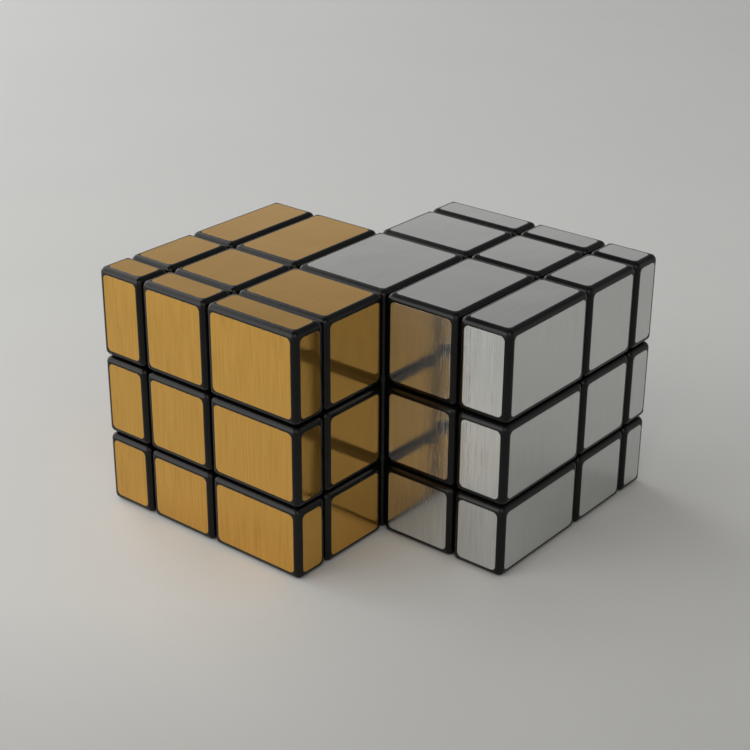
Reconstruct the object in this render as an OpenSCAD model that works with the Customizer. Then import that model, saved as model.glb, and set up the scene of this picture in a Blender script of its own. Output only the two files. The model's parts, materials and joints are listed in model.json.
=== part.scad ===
// Conjoined mirror blocks: two 3 x 3 x 3 shape-shifting cubes, one gold and one silver,
// that share one vertical column. The origin is under the middle of the shared column,
// on the table. +X runs to the right, +Y to the back and +Z up.

/* [Layers] */
// Thickness of every middle slice, along all three axes
middle = 19; // [18:0.5:20]
// Thin side layer, along X
thin_x = 13; // [12:0.5:15]
// Wide side layer, along X; the shared column has this width
wide_x = 25; // [23:0.5:27]
// Thin side layer, along Y
thin_y = 9; // [9:0.5:11]
// Wide side layer, along Y; the shared column has this depth
wide_y = 29; // [27:0.5:31]
// Bottom layer
bottom_z = 17; // [16:0.5:18]
// Top layer
top_z = 21; // [20:0.5:22]

/* [Blocks] */
// Gap between neighbouring blocks
gap = 0.3; // [0.2:0.05:0.4]
// Radius of the moulded block edges
edge_r = 1.4; // [1:0.1:1.4]
// Wall thickness of the hollow blocks
wall = 1.6; // [1.4:0.1:1.8]
// Thickness of the glued cap that closes each block
cap_t = 1.3; // [1.3:0.05:1.4]

/* [Foil] */
// Thickness of the metallic foil, set flush in a shallow recess
foil_t = 0.15; // [0.1:0.05:0.2]
// Distance from the side of a block to the foil
foil_inset = 1.45; // [1.45:0.05:1.8]
// Corner radius of the foil
foil_r = 1.1; // [0.8:0.1:1.5]

/* [Mechanism] */
// Radius of the round track that the feet slide in
track_r = 16.5; // [16:0.25:16.5]
// Distance from the core centre to the inner face of the feet
foot_in = 5.5; // [5:0.25:6]
// Play between a foot and its track, on each side
foot_play = 0.12; // [0.1:0.01:0.15]
// Radius of the core's six arms
arm_r = 2.5; // [2.3:0.1:2.7]
// Distance from the core centre to the end of an arm
arm_end = 8.5; // [8:0.25:8.75]
// Radius of the screw shank
screw_r = 1.15; // [1:0.05:1.25]
// Radius of the screw head
head_r = 3; // [2.8:0.1:3.2]
// Thickness of the screw head
head_t = 1.5; // [1.2:0.1:1.6]
// Distance from the core centre to the seat of a spring
seat = 10.5; // [10.25:0.25:11]
// Length of a spring as fitted
spring_len = 3.5; // [3:0.25:4]
// Diameter of the spring wire
wire_d = 0.7; // [0.5:0.05:0.8]
// Mean radius of a spring's coil
coil_r = 2.3; // [2.1:0.1:2.4]

/* [Hidden] */
half = middle / 2;
below_gold = [thin_x + half, thin_y + half, bottom_z + half];
above_gold = [wide_x + half, wide_y + half, top_z + half];
below_silver = [above_gold.x, above_gold.y, below_gold.z];
above_silver = [below_gold.x, below_gold.y, above_gold.z];
core_offset = [half + wide_x / 2, half + wide_y / 2];
column_size = [wide_x - gap, wide_y - gap, bottom_z + middle + top_z];

// A cube is [colour name, core centre, reach below, reach above, axis of its turning layers,
// side of that axis where its layer is joined to the shared column]
gold = ["gold", [-core_offset.x, -core_offset.y, bottom_z + half], below_gold, above_gold, 0, 1];
silver = ["silver", [core_offset.x, core_offset.y, bottom_z + half], below_silver, above_silver, 1, -1];
plastic_black = [0.07, 0.07, 0.08];
core_white = [0.85, 0.85, 0.82];
steel_grey = [0.62, 0.63, 0.65];
foil_gold = [0.80, 0.62, 0.28];
foil_silver = [0.76, 0.77, 0.79];

arm_play = 0.1;               // play between an arm and the bore that turns on it
bore_end = arm_end + 0.5;     // end of the arm bore in a centre piece
shank_hole_r = screw_r + 0.4; // hole in a centre piece for the screw shank
pocket_r = head_r + 0.5;      // pocket in a centre piece for the spring and the screw head
seam = 0.04;                  // glue line between a block and its cap
pilot_r = screw_r + 0.02;     // pilot hole in the core, running size over the screw shank
screw_tip = 3.5;              // distance from the core centre to a screw's tip
pilot_end = 3;                // distance from the core centre to the end of a pilot hole
hub_half = foot_in - 0.25;    // half the width of the core's hub
hub_r = 7.2;                  // radius of the ball that rounds the hub's corners
slot_l = 1.1;                 // length of the cross slot in a screw head, over the head's radius
slot_w = 0.7;                 // width of the cross slot
slot_floor = 0.4;             // height of the slot's floor, over the head's thickness
spring_turns = 3;
spring_end = 0.03;            // clearance at each end of a spring
rings_per_turn = 10;
wire_sides = 6;
past = 1;                     // how far a cutting shape runs past the face that it cuts
reach = 60;                   // longer than any block, for cuts that run right through
$fn = 96;

index = [-1, 0, 1];
along_x = ["left", "", "right"];
along_y = ["front", "", "back"];
along_z = ["bottom", "", "top"];
kinds = ["", "centre", "edge", "corner"];

// A cell is where a block sits in its cube: -1, 0 or 1 along each axis
function sides(c) = abs(c.x) + abs(c.y) + abs(c.z);
function shared(cube, c) =
    let (s = cube == gold ? 1 : -1) c.x == s && c.y == s;
function cells(cube) =
    [for (k = index, j = index, i = index) let (c = [i, j, k]) if (sides(c) > 0 && !shared(cube, c)) c];
function cells_in_layer(cube, n) = [for (c = cells(cube)) if (c[cube[4]] == n) c];
function words(c) = [for (w = [along_x[c.x + 1], along_y[c.y + 1], along_z[c.z + 1]]) if (w != "") str("_", w)];
function joined_words(w, i = 0) = i < len(w) ? str(w[i], joined_words(w, i + 1)) : "";
function block_name(cube, c) = str(cube[0], "_", kinds[sides(c)], joined_words(words(c)));

// The three layers of a cube, counted from the joined one
layer_words = ["joined", "slice", "turning"];
function layer_index(cube, step) = cube[5] * (1 - step);
function foil_name(cube, step) = str(cube[0], "_foils_", layer_words[step]);

// Lowest and highest corner of the block in a cell, from the core centre
function low(cube, c) =
    [for (a = [0:2]) c[a] < 0 ? -cube[2][a] : (c[a] == 0 ? -half : half) + gap / 2];
function high(cube, c) =
    [for (a = [0:2]) c[a] > 0 ? cube[3][a] : (c[a] == 0 ? half : -half) - gap / 2];
function with(v, a, value) = [for (i = [0:2]) i == a ? value : v[i]];
// The axis along which a block is closed by its cap
function cap_axis(c) = c.z != 0 ? 2 : c.y != 0 ? 1 : 0;

module box(lo, hi) translate(lo) cube(hi - lo);

module rounded_outline(w, h, r) {
    translate([r, 0]) square([w - 2 * r, h]);
    translate([0, r]) square([w, h - 2 * r]);
    for (x = [r, w - r], y = [r, h - r]) translate([x, y]) circle(r = r, $fn = 48);
}

// Fills the box from lo to hi, with its outline rounded as seen along one axis
module rounded_prism(lo, hi, axis, r) {
    size = hi - lo;
    if (axis == 0)
        translate(lo) rotate([90, 0, 90]) linear_extrude(size.x) rounded_outline(size.y, size.z, r);
    if (axis == 1)
        translate([lo.x, hi.y, lo.z]) rotate([90, 0, 0])
            linear_extrude(size.y) rounded_outline(size.x, size.z, r);
    if (axis == 2)
        translate(lo) linear_extrude(size.z) rounded_outline(size.x, size.y, r);
}

// What a ball rounds off one corner of a block. The corner is named by -1 or 1 along each axis
module corner_waste(lo, hi, corner) {
    centre = [for (a = [0:2]) corner[a] < 0 ? lo[a] + edge_r : hi[a] - edge_r];
    translate(centre) difference() {
        translate((edge_r + past) / 2 * corner) cube(edge_r + past, center = true);
        sphere(r = edge_r);
    }
}

// A box with its twelve edges and eight corners rounded
module rounded_block(lo, hi) {
    difference() {
        intersection() {
            rounded_prism(lo, hi, 0, edge_r);
            rounded_prism(lo, hi, 1, edge_r);
            rounded_prism(lo, hi, 2, edge_r);
        }
        for (x = [-1, 1], y = [-1, 1], z = [-1, 1]) corner_waste(lo, hi, [x, y, z]);
    }
}

// Turns a shape that stands on +Z so that it points along an axis, to one side
module facing(axis, side) {
    turn = axis == 0 ? [0, 90 * side, 0] : axis == 1 ? [-90 * side, 0, 0] : [90 - 90 * side, 0, 0];
    rotate(turn) children();
}

module drum(axis, r) facing(axis, 1) cylinder(r = r, h = 2 * reach, center = true);

// The inner end of a block, which slides in the round tracks and holds the cube together
module foot(c) {
    track = track_r - foot_play;
    half_width = foot_in - foot_play;
    lo = [for (a = [0:2]) c[a] < 0 ? -track : c[a] == 0 ? -half_width : foot_in + foot_play];
    hi = [for (a = [0:2]) c[a] > 0 ? track : c[a] == 0 ? half_width : -foot_in - foot_play];
    intersection() {
        box(lo, hi);
        intersection_for (a = [for (i = [0:2]) if (c[i] != 0) i]) drum(a, track);
    }
}

// The track cut into both sides of a block that lies between two outer layers
module tracks(c) {
    for (a = [0:2], side = [-1, 1])
        if (c[a] == 0)
            facing(a, side) translate([0, 0, foot_in - foot_play])
                cylinder(r = track_r + foot_play, h = half);
}

// The part of a block from some distance under its cap side outwards
module cap_space(cube, c, depth) {
    a = cap_axis(c);
    outward = c[a] > 0;
    lo = low(cube, c) - past * [1, 1, 1];
    hi = high(cube, c) + past * [1, 1, 1];
    plane = outward ? high(cube, c)[a] - depth : low(cube, c)[a] + depth;
    box(outward ? with(lo, a, plane) : lo, outward ? hi : with(hi, a, plane));
}

// The hollow of a corner or edge block, open towards the cap
module hollow(cube, c) {
    a = cap_axis(c);
    lo = low(cube, c) + wall * [1, 1, 1];
    hi = high(cube, c) - wall * [1, 1, 1];
    difference() {
        box(c[a] < 0 ? with(lo, a, low(cube, c)[a]) : lo, c[a] > 0 ? with(hi, a, high(cube, c)[a]) : hi);
        for (i = [0:2]) if (c[i] == 0) drum(i, track_r + foot_play + wall);
    }
}

// Bores of a centre piece: the core's arm, the screw shank, and the spring and screw head.
// Where the piece is deep enough, the rest of it is hollow too.
module centre_bores(cube, c) {
    a = cap_axis(c);
    outer = c[a] > 0 ? cube[3][a] : cube[2][a];
    shelf = track_r + foot_play + wall;
    room = half - gap / 2 - wall;
    facing(a, c[a]) {
        translate([0, 0, foot_in - past]) cylinder(r = arm_r + arm_play, h = bore_end - foot_in + past);
        cylinder(r = shank_hole_r, h = seat + past);
        translate([0, 0, seat]) cylinder(r = pocket_r, h = outer - seat);
        if (outer - cap_t - shelf > past)
            translate([0, 0, (shelf + outer) / 2]) cube([2 * room, 2 * room, outer - shelf], center = true);
    }
}

// The plate that foil fills on one face of a block; it can start deeper or stand prouder
module face_plate(lo, hi, a, side, proud) {
    inner_lo = lo + foil_inset * [1, 1, 1];
    inner_hi = hi - foil_inset * [1, 1, 1];
    if (side > 0)
        rounded_prism(with(inner_lo, a, hi[a] - foil_t), with(inner_hi, a, hi[a] + proud), a, foil_r);
    else
        rounded_prism(with(inner_lo, a, lo[a] - proud), with(inner_hi, a, lo[a] + foil_t), a, foil_r);
}

module face_plates(cube, c, proud) {
    for (a = [0:2])
        if (c[a] != 0) face_plate(low(cube, c), high(cube, c), a, c[a], proud);
}

// One block: the moulded base with its foot, and the cap glued on it
module block(cube, c) {
    color(plastic_black) translate(cube[1]) {
        difference() {
            union() {
                rounded_block(low(cube, c), high(cube, c));
                foot(c);
            }
            cap_space(cube, c, cap_t + seam);
            tracks(c);
            if (sides(c) == 1) centre_bores(cube, c);
            else hollow(cube, c);
            face_plates(cube, c, past);
        }
        intersection() {
            difference() {
                rounded_block(low(cube, c), high(cube, c));
                face_plates(cube, c, past);
            }
            cap_space(cube, c, cap_t);
        }
    }
}

module foils(cube, step) {
    color(cube == gold ? foil_gold : foil_silver) {
        translate(cube[1])
            for (c = cells_in_layer(cube, layer_index(cube, step))) face_plates(cube, c, 0);
        if (cube == silver && step == 0)
            for (side = [-1, 1]) face_plate(column_low, column_high, 2, side, 0);
    }
}

column_low = [-column_size.x / 2, -column_size.y / 2, 0];
column_high = [column_size.x / 2, column_size.y / 2, column_size.z];

// The foot that the shared column reaches into one cube
module column_foot(cube) {
    side = cube == gold ? 1 : -1;
    track = track_r - foot_play;
    inner = foot_in + foot_play;
    translate(cube[1]) intersection() {
        translate([side * (inner + track) / 2, side * (inner + track) / 2, 0])
            cube([track - inner, track - inner, 2 * track], center = true);
        drum(0, track);
        drum(1, track);
    }
}

// The part of the shared column from some distance under its top upwards
module column_cap_space(depth) {
    box(
        with(column_low - past * [1, 1, 1], 2, column_size.z - depth),
        column_high + past * [1, 1, 1]
    );
}

// The fused column of three blocks that belongs to both cubes
module shared_column() {
    color(plastic_black) {
        difference() {
            union() {
                rounded_block(column_low, column_high);
                column_foot(gold);
                column_foot(silver);
            }
            column_cap_space(cap_t + seam);
            box(column_low + wall * [1, 1, 1], column_high - wall * [1, 1, 0]);
            for (side = [-1, 1]) face_plate(column_low, column_high, 2, side, past);
        }
        intersection() {
            difference() {
                rounded_block(column_low, column_high);
                face_plate(column_low, column_high, 2, 1, past);
            }
            column_cap_space(cap_t);
        }
    }
}

// The spider inside each cube: a hub with six arms that the screws go into
module core(cube) {
    color(core_white) translate(cube[1]) difference() {
        union() {
            intersection() {
                cube(2 * hub_half, center = true);
                sphere(r = hub_r);
            }
            for (a = [0:2], side = [-1, 1]) facing(a, side) cylinder(r = arm_r, h = arm_end);
        }
        for (a = [0:2], side = [-1, 1])
            facing(a, side) translate([0, 0, pilot_end]) cylinder(r = pilot_r, h = arm_end);
    }
}

module screw() {
    head_z = seat + spring_len;
    slot = [slot_l * head_r, slot_w, head_t];
    difference() {
        union() {
            translate([0, 0, screw_tip]) cylinder(r = screw_r, h = head_z + head_t / 2 - screw_tip);
            translate([0, 0, head_z]) cylinder(r = head_r, h = head_t);
        }
        for (turn = [0, 90])
            rotate(turn) translate([-slot.x / 2, -slot.y / 2, head_z + head_t * slot_floor]) cube(slot);
    }
}

module screws(cube) {
    color(steel_grey) translate(cube[1])
        for (a = [0:2], side = [-1, 1]) facing(a, side) screw();
}

// A helix of round wire, swept ring by ring
module spring() {
    rings = spring_turns * rings_per_turn;
    rise = spring_len - wire_d - 2 * spring_end;
    start = seat + spring_end + wire_d / 2;
    points = [for (i = [0:rings], s = [0:wire_sides - 1])
        let (turn = 360 * i / rings_per_turn, a = 360 * s / wire_sides, r = coil_r + wire_d / 2 * cos(a))
        [r * cos(turn), r * sin(turn), start + rise * i / rings + wire_d / 2 * sin(a)]];
    sides = [for (i = [0:rings - 1], s = [0:wire_sides - 1])
        let (t = (s + 1) % wire_sides, here = i * wire_sides, next = here + wire_sides)
        [here + s, here + t, next + t, next + s]];
    first = [for (s = [wire_sides - 1:-1:0]) s];
    last = [for (s = [0:wire_sides - 1]) rings * wire_sides + s];
    polyhedron(points, concat([first], sides, [last]));
}

module springs(cube) {
    color(steel_grey) translate(cube[1])
        for (a = [0:2], side = [-1, 1]) facing(a, side) spring();
}

shared_column();
for (cube = [gold, silver]) {
    for (c = cells(cube))
        block(cube, c);
    for (step = [0:2])
        foils(cube, step);
    core(cube);
    screws(cube);
    springs(cube);
}
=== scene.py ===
import json
import math
import random

import bmesh
import bpy
from mathutils import Matrix, Vector

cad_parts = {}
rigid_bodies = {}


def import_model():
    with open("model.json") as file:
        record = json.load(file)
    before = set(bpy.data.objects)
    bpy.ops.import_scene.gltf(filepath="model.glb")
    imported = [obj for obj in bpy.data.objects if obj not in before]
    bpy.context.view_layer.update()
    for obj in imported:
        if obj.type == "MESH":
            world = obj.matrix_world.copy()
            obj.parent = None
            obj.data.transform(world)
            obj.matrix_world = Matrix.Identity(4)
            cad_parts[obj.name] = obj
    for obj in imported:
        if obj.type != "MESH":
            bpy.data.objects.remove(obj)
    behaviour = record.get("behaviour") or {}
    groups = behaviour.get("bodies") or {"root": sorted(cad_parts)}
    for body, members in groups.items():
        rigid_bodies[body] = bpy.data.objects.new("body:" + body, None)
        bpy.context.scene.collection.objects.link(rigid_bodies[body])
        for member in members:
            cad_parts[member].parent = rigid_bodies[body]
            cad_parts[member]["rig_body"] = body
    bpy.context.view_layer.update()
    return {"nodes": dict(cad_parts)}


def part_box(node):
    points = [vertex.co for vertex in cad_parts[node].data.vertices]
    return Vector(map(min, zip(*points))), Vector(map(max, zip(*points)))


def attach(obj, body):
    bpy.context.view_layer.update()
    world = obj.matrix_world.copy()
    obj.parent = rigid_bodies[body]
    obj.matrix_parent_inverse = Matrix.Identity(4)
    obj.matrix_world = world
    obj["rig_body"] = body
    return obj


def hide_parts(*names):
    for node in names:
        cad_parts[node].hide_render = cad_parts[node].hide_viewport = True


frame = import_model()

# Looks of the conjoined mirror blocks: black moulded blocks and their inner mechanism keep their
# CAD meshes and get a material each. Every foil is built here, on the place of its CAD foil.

MM = 0.001
nodes = frame["nodes"]

# --- Sizes that the frame doesn't give ---------------------------------------------------------

FOIL_CORNER = 1.1 * MM       # corner radius of a foil, as in the CAD
CORNER_STEPS = 10            # segments in a foil's rounded corner
FOIL_ROUNDING = 0.02 * MM    # radius of the rolled-over edge of a foil
ROUNDING_STEPS = 3           # segments in that edge
WELD = 1e-6                  # vertices this close are one vertex

# The foils take their brush lines from places on one long sheet, in two halves. The streaks are strong on
# the first half, used by the foils facing ±Y, and weak on the second, used by the tops and the ±X foils.
# In the colour this difference is painted light: the grazing light from the left bringing out the lines on
# the ±Y faces. The roughness and bump follow it too.
ROLL_HALF = 0.4              # width of each half
ROLL_EDGE = 0.03             # each foil is cut at least this far inside its half
ROLL_BLEND = 5 * MM          # the painted streak light changes from strong to weak over twice this
STREAKS_IN_GRAZING_LIGHT, STREAKS_IN_FLAT_LIGHT = 1.0, 0.4        # how strong the streaks are on each half: the strong half is painted light for the grazing light on the ±Y faces

CAMERA_PLACE = (0.2101, -0.2612, 0.1860)
CAMERA_AZIMUTH = 39.04       # degrees from +Y towards -X
CAMERA_ELEVATION = 25.07     # degrees below the horizon
CAMERA_ROLL = 0.39           # degrees
CAMERA_LENS = 78.64          # mm, on the sensor below
SENSOR_WIDTH = 36            # mm
CLIP_NEAR, CLIP_FAR = 0.01, 50

FLOOR_RADIUS = 8.0
FLOOR_SEGMENTS = 96
FLOOR_DROP = 0.02 * MM           # keeps the floor off the lowest faces
FLOOR_FRONT = (0.63, -0.777, 0)  # towards the camera, along the floor
PAINTED_SHADE_FROM, PAINTED_SHADE_TO = 0.05, 0.15    # distance towards the camera over which painted shade darkens the floor
PAINTED_SHADE_BY = 6.8                     # how deep the painted shade is, in units of the mottle
FADE_FROM, FADE_TO = 0.45, 1.3   # distance over which the floor fades into the backdrop
HORIZON = (0.66, 0.645, 0.615)   # colour of the backdrop at the horizon

NOISE_LOW, NOISE_HIGH = 0.3, 0.7  # nearly all values of a noise texture lie between these


# --- Small helpers -------------------------------------------------------------------------------

def new_material(name):
    """An empty node material and its Principled shader."""
    material = bpy.data.materials.new(name)
    material.use_nodes = True
    tree = material.node_tree
    return material, tree, tree.nodes["Principled BSDF"]


def add(tree, kind, inputs=None, **settings):
    """A new node with its settings and its input values or links."""
    node = tree.nodes.new(kind)
    for key, value in settings.items():
        setattr(node, key, value)
    for key, value in (inputs or {}).items():
        if isinstance(value, bpy.types.NodeSocket):
            tree.links.new(value, node.inputs[key])
        else:
            node.inputs[key].default_value = value
    return node


def link(tree, value, node, key):
    tree.links.new(value, node.inputs[key])


def scaled_noise(tree, vector, size, detail=2.0, roughness=0.5, offset=(0, 0, 0)):
    """Noise whose features measure size along each axis, in metres."""
    scale = tuple(1 / s for s in size)
    mapping = add(tree, "ShaderNodeMapping", {"Vector": vector, "Location": offset, "Scale": scale})
    return add(tree, "ShaderNodeTexNoise", {
        "Vector": mapping.outputs[0], "Scale": 1.0, "Detail": detail, "Roughness": roughness,
    }).outputs["Fac"]


def remap(tree, value, low, high, to_low, to_high, **settings):
    """The value, taken from the range low to high into the range to_low to to_high, and kept inside it."""
    return add(tree, "ShaderNodeMapRange", {
        "Value": value, "From Min": low, "From Max": high, "To Min": to_low, "To Max": to_high,
    }, **settings).outputs[0]


def spread(tree, noise, to_low, to_high):
    """A noise value stretched from its usual range to the one given."""
    return remap(tree, noise, NOISE_LOW, NOISE_HIGH, to_low, to_high)


def math_node(tree, operation, a, b):
    return add(tree, "ShaderNodeMath", {0: a, 1: b}, operation=operation).outputs[0]


def mix_rgb(tree, factor, low, high):
    """Colour between low and high, as a socket. A colour mix has its colours on inputs 6 and 7."""
    node = tree.nodes.new("ShaderNodeMix")
    node.data_type = "RGBA"
    link(tree, factor, node, "Factor")
    node.inputs[6].default_value = (*low, 1)
    node.inputs[7].default_value = (*high, 1)
    return node.outputs[2]


def bump(tree, height, distance, normal=None, strength=1.0):
    """A normal bumped by height times distance, in metres, on top of another normal if one is given."""
    inputs = {"Strength": strength, "Distance": distance, "Height": height}
    if normal is not None:
        inputs["Normal"] = normal
    return add(tree, "ShaderNodeBump", inputs).outputs[0]


# --- Materials -----------------------------------------------------------------------------------

STREAK_MEAN = 0.47           # mean of the foil's streaks
SCRATCH_DEPTH = 0.24         # how much a deep scratch darkens the streaks
GROOVE_DEPTH = 18e-6         # m, bump of the brush marks
SHEET_WAVE = 60e-6           # m, bump of the slow waves in the foil


def brushed_foil(name, dark, light, roughness, metallic):
    """Metallised foil with fine brush lines along V of its UV map, which is in metres on the roll."""
    material, tree, shader = new_material(name)
    place = add(tree, "ShaderNodeUVMap", uv_map="brush").outputs[0]
    hair = scaled_noise(tree, place, (0.12 * MM, 9 * MM, 1), detail=3.0, roughness=0.6)
    line = scaled_noise(tree, place, (0.45 * MM, 14 * MM, 1), detail=3.0, offset=(7, 3, 0))
    cut = scaled_noise(tree, place, (0.26 * MM, 11 * MM, 1), offset=(2, 9, 0))
    patch = scaled_noise(tree, place, (5 * MM, 9 * MM, 1), offset=(4, 4, 0))
    wave = scaled_noise(tree, place, (14 * MM, 16 * MM, 1), detail=1.0, offset=(5, 1, 0))

    # Deep scratches show where cut is high, and in patches.
    deep = remap(tree, cut, 0.57, 0.66, 0, 1)
    scratches = math_node(tree, "MULTIPLY", deep, remap(tree, patch, 0.38, 0.62, 0.1, 1))
    hair_part = math_node(tree, "MULTIPLY", hair, 0.4)
    streak = math_node(tree, "ADD", hair_part, math_node(tree, "MULTIPLY", line, 0.6))
    full = math_node(tree, "SUBTRACT", streak, math_node(tree, "MULTIPLY", scratches, SCRATCH_DEPTH))

    # The tone lies round zero, and is weaker on the second half of the sheet. Its stronger streaks on the
    # ±Y faces are painted light, where the grazing light brings out the lines.
    across_roll = add(tree, "ShaderNodeSeparateXYZ", {"Vector": place}).outputs["X"]
    streak_strength_with_painted_light = remap(tree, across_roll, ROLL_HALF - ROLL_BLEND, ROLL_HALF + ROLL_BLEND, STREAKS_IN_GRAZING_LIGHT, STREAKS_IN_FLAT_LIGHT)
    tone = math_node(tree, "MULTIPLY", math_node(tree, "SUBTRACT", full, STREAK_MEAN), streak_strength_with_painted_light)
    link(tree, mix_rgb(tree, remap(tree, tone, -0.22, 0.18, 0, 1), dark, light), shader, "Base Color")
    link(tree, remap(tree, tone, -0.12, 0.12, roughness * 2.0, roughness * 0.6), shader, "Roughness")
    shader.inputs["Metallic"].default_value = metallic
    shader.inputs["Anisotropic"].default_value = 0.7

    link(tree, bump(tree, tone, GROOVE_DEPTH, bump(tree, wave, SHEET_WAVE)), shader, "Normal")
    tangent = add(tree, "ShaderNodeTangent", direction_type="UV_MAP", uv_map="brush")
    link(tree, tangent.outputs[0], shader, "Tangent")
    return material


def moulded_plastic():
    """Glossy black ABS: faint flow marks, fine pores and a few dull patches from handling."""
    material, tree, shader = new_material("black_plastic_moulded")
    place = add(tree, "ShaderNodeTexCoord").outputs["Object"]
    flow = scaled_noise(tree, place, (9 * MM, 9 * MM, 5 * MM), detail=3.0)
    grain = scaled_noise(tree, place, (0.35 * MM,) * 3, detail=2.0, offset=(4, 2, 1))
    ripple = scaled_noise(tree, place, (2.5 * MM,) * 3, detail=1.0, offset=(1, 6, 3))
    dark, light = (0.0022, 0.0024, 0.0024), (0.0042, 0.0044, 0.0045)
    link(tree, mix_rgb(tree, spread(tree, flow, 0, 1), dark, light), shader, "Base Color")
    rough = math_node(tree, "ADD", spread(tree, flow, 0.15, 0.21), spread(tree, grain, -0.01, 0.03))
    link(tree, rough, shader, "Roughness")
    shader.inputs["Specular IOR Level"].default_value = 0.24
    soft_edges = add(tree, "ShaderNodeBevel", {"Radius": 0.4 * MM}, samples=6).outputs[0]
    rippled = bump(tree, ripple, 10e-6, soft_edges)
    link(tree, bump(tree, grain, 1e-6, rippled, strength=0.5), shader, "Normal")
    return material


def nylon():
    """Off-white moulded nylon of the cores."""
    material, tree, shader = new_material("core_nylon_moulded")
    place = add(tree, "ShaderNodeTexCoord").outputs["Object"]
    cloud = scaled_noise(tree, place, (4 * MM,) * 3, detail=3.0)
    grain = scaled_noise(tree, place, (0.3 * MM,) * 3, detail=2.0, offset=(3, 3, 3))
    dark, light = (0.66, 0.65, 0.60), (0.76, 0.75, 0.71)
    link(tree, mix_rgb(tree, spread(tree, cloud, 0, 1), dark, light), shader, "Base Color")
    link(tree, spread(tree, grain, 0.38, 0.5), shader, "Roughness")
    shader.inputs["Subsurface Weight"].default_value = 0.15
    shader.inputs["Subsurface Scale"].default_value = 1.0 * MM
    link(tree, bump(tree, grain, 4e-6, strength=0.7), shader, "Normal")
    return material


def turned_steel(name, dark, light, roughness):
    """Bright steel with fine tool marks."""
    material, tree, shader = new_material(name)
    place = add(tree, "ShaderNodeTexCoord").outputs["Object"]
    marks = scaled_noise(tree, place, (0.12 * MM,) * 3, detail=2.0)
    cloud = scaled_noise(tree, place, (2 * MM,) * 3, detail=2.0, offset=(8, 1, 2))
    link(tree, mix_rgb(tree, spread(tree, cloud, 0, 1), dark, light), shader, "Base Color")
    link(tree, spread(tree, marks, roughness * 0.8, roughness * 1.25), shader, "Roughness")
    shader.inputs["Metallic"].default_value = 1.0
    link(tree, bump(tree, marks, 3e-6, strength=0.6), shader, "Normal")
    return material


FINISHES = {
    "gold": brushed_foil(
        "gold_foil_brushed", dark=(0.51, 0.28, 0.055), light=(0.70, 0.395, 0.09),
        roughness=0.055, metallic=0.86,
    ),
    "silver": brushed_foil(
        "silver_foil_brushed", dark=(0.508, 0.519, 0.511), light=(0.668, 0.679, 0.664),
        roughness=0.045, metallic=0.91,
    ),
}


# --- Foils ---------------------------------------------------------------------------------------

def solids_of(node):
    """The box (low, high) of each separate solid in a CAD node."""
    shape = bmesh.new()
    shape.from_mesh(node.data)
    bmesh.ops.remove_doubles(shape, verts=shape.verts, dist=WELD)
    boxes = []
    left = set(shape.verts)
    while left:
        found = [left.pop()]
        for vert in found:
            for edge in vert.link_edges:
                other = edge.other_vert(vert)
                if other in left:
                    left.remove(other)
                    found.append(other)
        points = [v.co for v in found]
        boxes.append((
            Vector([min(p[i] for p in points) for i in range(3)]),
            Vector([max(p[i] for p in points) for i in range(3)]),
        ))
    shape.free()
    return sorted(boxes, key=lambda box: tuple(round(c, 5) for c in (*box[0], *box[1])))


def rounded_ring(width, height, inset):
    """Points around a rectangle with rounded corners, centred on the origin and drawn in by inset."""
    radius = FOIL_CORNER - inset
    ring = []
    for quarter, (sx, sy) in enumerate([(1, 1), (-1, 1), (-1, -1), (1, -1)]):
        centre = (sx * (width / 2 - FOIL_CORNER), sy * (height / 2 - FOIL_CORNER))
        for step in range(CORNER_STEPS + 1):
            turn = math.radians(90) * (quarter + step / CORNER_STEPS)
            ring.append((centre[0] + radius * math.cos(turn), centre[1] + radius * math.sin(turn)))
    return ring


def add_foil(shape, brush, low, high, middle, rng):
    """One foil in the box from low to high. It faces away from the middle of its cube."""
    size = high - low
    centre = (low + high) / 2
    facing = min(range(3), key=lambda i: size[i])
    side = 1 if centre[facing] > middle[facing] else -1
    along = 1 if facing == 2 else 2
    across = 3 - facing - along
    out = Vector([side if i == facing else 0 for i in range(3)])
    v_axis = Vector([1 if i == along else 0 for i in range(3)])   # the brush lines run this way
    u_axis = v_axis.cross(out)
    width, height, thick = size[across], size[along], size[facing]
    # Foils facing ±Y take the first half, whose streaks are made strong as painted light for the grazing
    # light; the others take the second half.
    half_by_light = 0 if facing == 1 else ROLL_HALF
    roll = (half_by_light + rng.uniform(ROLL_EDGE, ROLL_HALF - ROLL_EDGE), rng.uniform(0, ROLL_HALF))

    levels = [(0, -thick / 2)]
    for step in range(ROUNDING_STEPS + 1):
        turn = math.radians(90) * step / ROUNDING_STEPS
        levels.append((FOIL_ROUNDING * (1 - math.cos(turn)),
                       thick / 2 - FOIL_ROUNDING * (1 - math.sin(turn))))
    rings = []
    for inset, rise in levels:
        ring = rounded_ring(width, height, inset)
        rings.append([
            (shape.verts.new(centre + u_axis * u + v_axis * v + out * rise), u, v) for u, v in ring
        ])
    count = len(rings[0])
    faces = [[rings[0][i] for i in reversed(range(count))], rings[-1]]
    for lower, upper in zip(rings, rings[1:]):
        for i in range(count):
            j = (i + 1) % count
            faces.append([lower[i], lower[j], upper[j], upper[i]])
    for corners in faces:
        face = shape.faces.new([vert for vert, u, v in corners])
        face.smooth = len(corners) == 4
        for loop, (vert, u, v) in zip(face.loops, corners):
            loop[brush].uv = (roll[0] + u, roll[1] + v)


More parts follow.
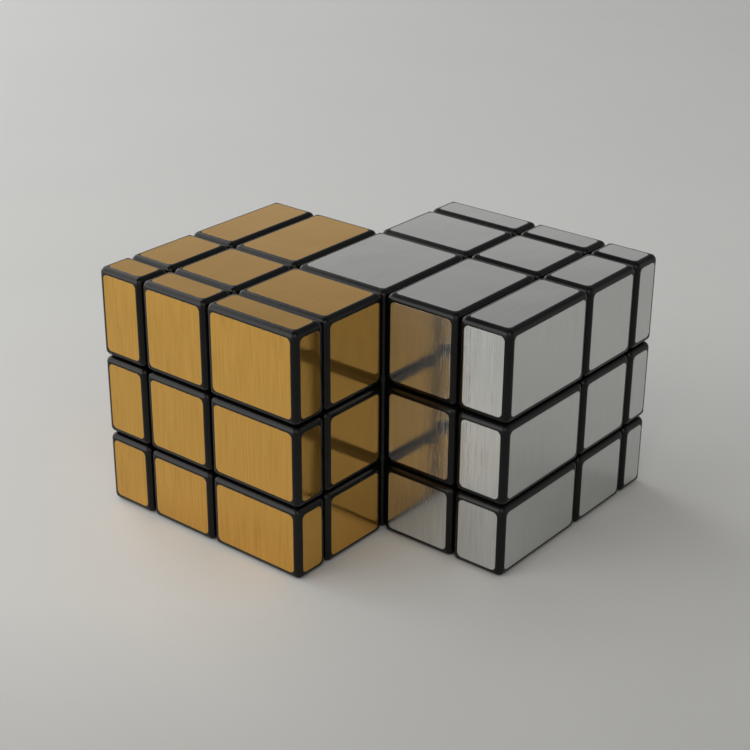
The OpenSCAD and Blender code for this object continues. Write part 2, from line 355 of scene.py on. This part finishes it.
def foil_sheets(colour, layer, seed):
    """All foils of one layer of one cube, in the place of its CAD foils."""
    cad = nodes[f"{colour}_foils_{layer}"]
    low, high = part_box(f"{colour}_core")
    middle = (low + high) / 2
    rng = random.Random(seed)
    shape = bmesh.new()
    brush = shape.loops.layers.uv.new("brush")
    for box_low, box_high in solids_of(cad):
        add_foil(shape, brush, box_low, box_high, middle, rng)
    mesh = bpy.data.meshes.new(f"{colour}_foil_sheets_{layer}")
    shape.to_mesh(mesh)
    shape.free()
    sheets = bpy.data.objects.new(mesh.name, mesh)
    bpy.context.scene.collection.objects.link(sheets)
    mesh.materials.append(FINISHES[colour])
    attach(sheets, cad["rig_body"])
    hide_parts(cad.name)
    return sheets


LAYERS = [(colour, layer) for colour in ("gold", "silver") for layer in ("joined", "slice", "turning")]
for seed, (colour, layer) in enumerate(LAYERS):
    foil_sheets(colour, layer, seed)


# --- CAD nodes that stay -------------------------------------------------------------------------

def finish_cad_nodes():
    """Plastic on the blocks, nylon on the cores and steel on the screws and springs."""
    plastic = moulded_plastic()
    by_ending = {
        "_core": nylon(),
        "_screws": turned_steel(
            "screw_steel_turned", dark=(0.50, 0.50, 0.52), light=(0.66, 0.66, 0.68), roughness=0.28,
        ),
        "_springs": turned_steel(
            "spring_steel_drawn", dark=(0.42, 0.42, 0.43), light=(0.58, 0.58, 0.60), roughness=0.22,
        ),
    }
    for name, node in nodes.items():
        if "_foils_" in name:
            continue
        material = next((m for ending, m in by_ending.items() if name.endswith(ending)), plastic)
        for slot in node.material_slots:
            slot.material = material


finish_cad_nodes()


# --- Camera, floor and light ---------------------------------------------------------------------

def add_camera():
    data = bpy.data.cameras.new("camera")
    data.lens = CAMERA_LENS
    data.sensor_width = SENSOR_WIDTH
    data.clip_start = CLIP_NEAR
    data.clip_end = CLIP_FAR
    camera = bpy.data.objects.new("camera", data)
    turn = (
        Matrix.Rotation(math.radians(CAMERA_AZIMUTH), 4, "Z")
        @ Matrix.Rotation(math.radians(90 - CAMERA_ELEVATION), 4, "X")
        @ Matrix.Rotation(math.radians(CAMERA_ROLL), 4, "Z")
    )
    camera.matrix_world = Matrix.Translation(CAMERA_PLACE) @ turn
    bpy.context.scene.collection.objects.link(camera)
    bpy.context.scene.camera = camera


def backdrop_strength(tree, across):
    """How bright the backdrop is, from the X part of the direction: a little paler to the left."""
    return remap(tree, across, -0.75, -0.35, to_low=1.12, to_high=0.9)


def floor_material():
    """A pale matt table top, darkened towards the camera by painted shade, that fades into the backdrop
    far away.
    """
    material, tree, shader = new_material("floor_pale")
    place = add(tree, "ShaderNodeTexCoord").outputs["Object"]
    mottle = scaled_noise(tree, place, (60 * MM,) * 3, detail=3.0)
    # Painted shade: the floor's colour darkens towards the camera.
    towards = add(tree, "ShaderNodeVectorMath", {0: place, 1: FLOOR_FRONT}, operation="DOT_PRODUCT")
    painted_shade = remap(tree, towards.outputs["Value"], PAINTED_SHADE_FROM, PAINTED_SHADE_TO, 0, PAINTED_SHADE_BY)
    tone = remap(tree, math_node(tree, "SUBTRACT", mottle, painted_shade), -4, 1, 0, 1)
    link(tree, mix_rgb(tree, tone, (0.53, 0.535, 0.53), (0.73, 0.735, 0.725)), shader, "Base Color")
    shader.inputs["Roughness"].default_value = 0.65
    shader.inputs["Specular IOR Level"].default_value = 0.3

    # Far away the floor turns into a painted glow: emission in the backdrop's colour, a little paler to
    # the left, in place of lit floor.
    distance = add(tree, "ShaderNodeVectorMath", {0: place}, operation="LENGTH").outputs["Value"]
    fade = remap(tree, distance, FADE_FROM, FADE_TO, 0, 1, interpolation_type="SMOOTHSTEP")
    direction = add(tree, "ShaderNodeVectorMath", {0: place}, operation="NORMALIZE").outputs["Vector"]
    glow = backdrop_strength(tree, add(tree, "ShaderNodeSeparateXYZ", {0: direction}).outputs["X"])
    backdrop = add(tree, "ShaderNodeEmission", {"Color": (*HORIZON, 1), "Strength": glow})
    mix = add(tree, "ShaderNodeMixShader", {0: fade, 1: shader.outputs[0], 2: backdrop.outputs[0]})
    link(tree, mix.outputs[0], tree.nodes["Material Output"], "Surface")
    return material


def add_floor():
    shape = bmesh.new()
    bmesh.ops.create_circle(shape, cap_ends=True, radius=FLOOR_RADIUS, segments=FLOOR_SEGMENTS)
    mesh = bpy.data.meshes.new("floor")
    shape.to_mesh(mesh)
    shape.free()
    floor = bpy.data.objects.new("floor", mesh)
    floor.location.z = -FLOOR_DROP
    mesh.materials.append(floor_material())
    bpy.context.scene.collection.objects.link(floor)


def area_light(name, bearing, elevation, distance, size, power, colour):
    """A square soft light aimed at the origin. Its bearing is in degrees from +X towards +Y."""
    data = bpy.data.lights.new(name, "AREA")
    data.shape = "SQUARE"
    data.size = size
    data.energy = power
    data.color = colour
    light = bpy.data.objects.new(name, data)
    across = math.cos(math.radians(elevation))
    place = distance * Vector((
        across * math.cos(math.radians(bearing)),
        across * math.sin(math.radians(bearing)),
        math.sin(math.radians(elevation)),
    ))
    light.location = place
    light.rotation_euler = (-place).to_track_quat("-Z", "Y").to_euler()
    light.visible_camera = False
    bpy.context.scene.collection.objects.link(light)


def add_world():
    """Soft light from all round: pale near the floor, greyer above, and a little paler to the left."""
    world = bpy.data.worlds.new("studio")
    world.use_nodes = True
    tree = world.node_tree
    direction = add(tree, "ShaderNodeTexCoord").outputs["Generated"]
    parts = add(tree, "ShaderNodeSeparateXYZ", {"Vector": direction})
    ramp = add(tree, "ShaderNodeValToRGB", {"Fac": parts.outputs["Z"]})
    stops = [
        (0.0, HORIZON),
        (0.26, (0.64, 0.63, 0.61)),
        (0.42, (0.30, 0.305, 0.305)),
        (0.6, (0.27, 0.275, 0.28)),
        (0.8, (0.20, 0.205, 0.21)),
    ]
    elements = ramp.color_ramp.elements
    while len(elements) < len(stops):
        elements.new(0.5)
    for element, (position, colour) in zip(elements, stops):
        element.position = position
        element.color = (*colour, 1)
    background = tree.nodes["Background"]
    link(tree, ramp.outputs["Color"], background, "Color")
    link(tree, backdrop_strength(tree, parts.outputs["X"]), background, "Strength")
    bpy.context.scene.world = world


def add_lights():
    """Two low windows to the left and front left, and a weak fill from the right."""
    area_light(
        "window_left", bearing=180, elevation=26, distance=1.2, size=1.2, power=8.9,
        colour=(1.0, 0.995, 0.985),
    )
    area_light(
        "window_front", bearing=240, elevation=22, distance=1.0, size=0.8, power=4.35,
        colour=(1.0, 0.99, 0.975),
    )
    area_light(
        "fill_right", bearing=310, elevation=40, distance=1.0, size=0.7, power=2.0,
        colour=(1.0, 0.92, 0.80),
    )


add_camera()
add_floor()
add_world()
add_lights()
bpy.context.scene.view_settings.view_transform = "Standard"
